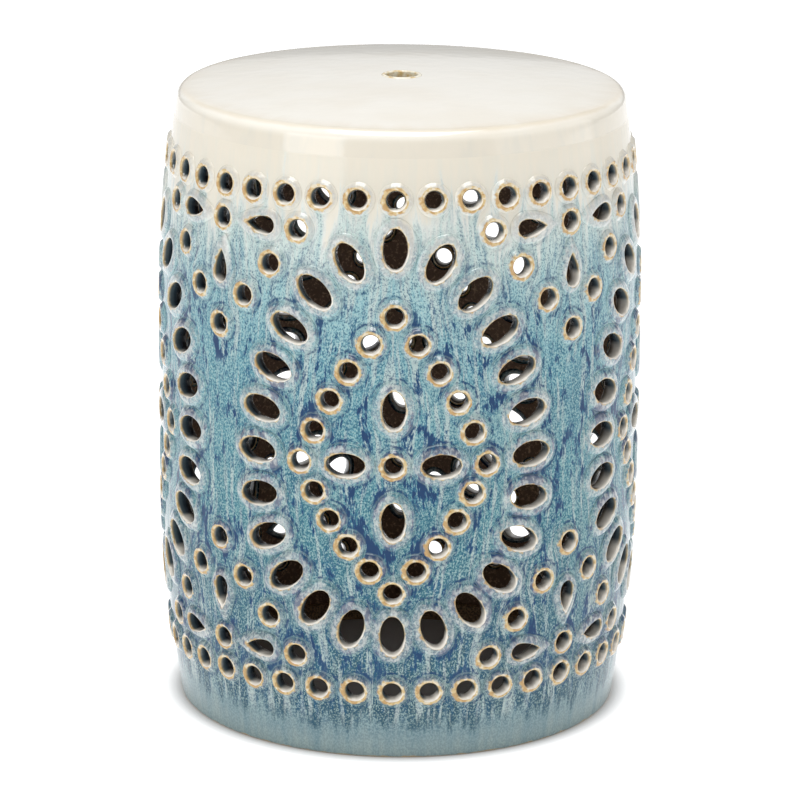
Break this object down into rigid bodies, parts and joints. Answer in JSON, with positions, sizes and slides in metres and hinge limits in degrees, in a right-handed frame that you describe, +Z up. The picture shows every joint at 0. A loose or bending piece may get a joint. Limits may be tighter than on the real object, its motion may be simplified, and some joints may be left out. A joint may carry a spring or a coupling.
{
  "type": "ceramic garden stool",
  "caption": "Barrel-shaped glazed ceramic garden stool with an openwork wall of collared holes, a domed seat and a finger hole.",
  "frame": {"origin": "middle of the foot, on the floor", "axes": "+Z up the stool's axis, -Y through the middle of the front medallion"},
  "size_m": [0.3506, 0.3506, 0.461],
  "materials": {
    "seat_glaze": "gloss ivory glaze",
    "rim_glaze": "gloss glaze broken to ochre",
    "barrel_glaze": "gloss reactive blue glaze, streaked",
    "round_collar_glaze": "gloss glaze broken to ochre",
    "oval_collar_glaze": "gloss grey-white glaze with an ochre lip",
    "foot_glaze": "thin brown glaze inside the foot, wiped off the sole to bare tan clay"
  },
  "bodies": {
    "root": {"seat_top": "seat_glaze", "seat_hole_rim": "rim_glaze", "barrel_wall": "barrel_glaze", "foot_ring": "foot_glaze", "upper_row_collars": "round_collar_glaze", "lower_row_collars": "round_collar_glaze", "front_medallion_ring_collars": "oval_collar_glaze", "front_medallion_diamond_collars": "round_collar_glaze", "front_medallion_petal_collars": "oval_collar_glaze", "front_medallion_centre_collar": "round_collar_glaze", "right_medallion_ring_collars": "oval_collar_glaze", "right_medallion_diamond_collars": "round_collar_glaze", "right_medallion_petal_collars": "oval_collar_glaze", "right_medallion_centre_collar": "round_collar_glaze", "back_medallion_ring_collars": "oval_collar_glaze", "back_medallion_diamond_collars": "round_collar_glaze", "back_medallion_petal_collars": "oval_collar_glaze", "back_medallion_centre_collar": "round_collar_glaze", "left_medallion_ring_collars": "oval_collar_glaze", "left_medallion_diamond_collars": "round_collar_glaze", "left_medallion_petal_collars": "oval_collar_glaze", "left_medallion_centre_collar": "round_collar_glaze", "front_right_upper_round_collars": "round_collar_glaze", "front_right_upper_leaf_collars": "oval_collar_glaze", "front_right_lower_round_collars": "round_collar_glaze", "front_right_lower_leaf_collars": "oval_collar_glaze", "back_right_upper_round_collars": "round_collar_glaze", "back_right_upper_leaf_collars": "oval_collar_glaze", "back_right_lower_round_collars": "round_collar_glaze", "back_right_lower_leaf_collars": "oval_collar_glaze", "back_left_upper_round_collars": "round_collar_glaze", "back_left_upper_leaf_collars": "oval_collar_glaze", "back_left_lower_round_collars": "round_collar_glaze", "back_left_lower_leaf_collars": "oval_collar_glaze", "front_left_upper_round_collars": "round_collar_glaze", "front_left_upper_leaf_collars": "oval_collar_glaze", "front_left_lower_round_collars": "round_collar_glaze", "front_left_lower_leaf_collars": "oval_collar_glaze"}
  },
  "joints": []
}
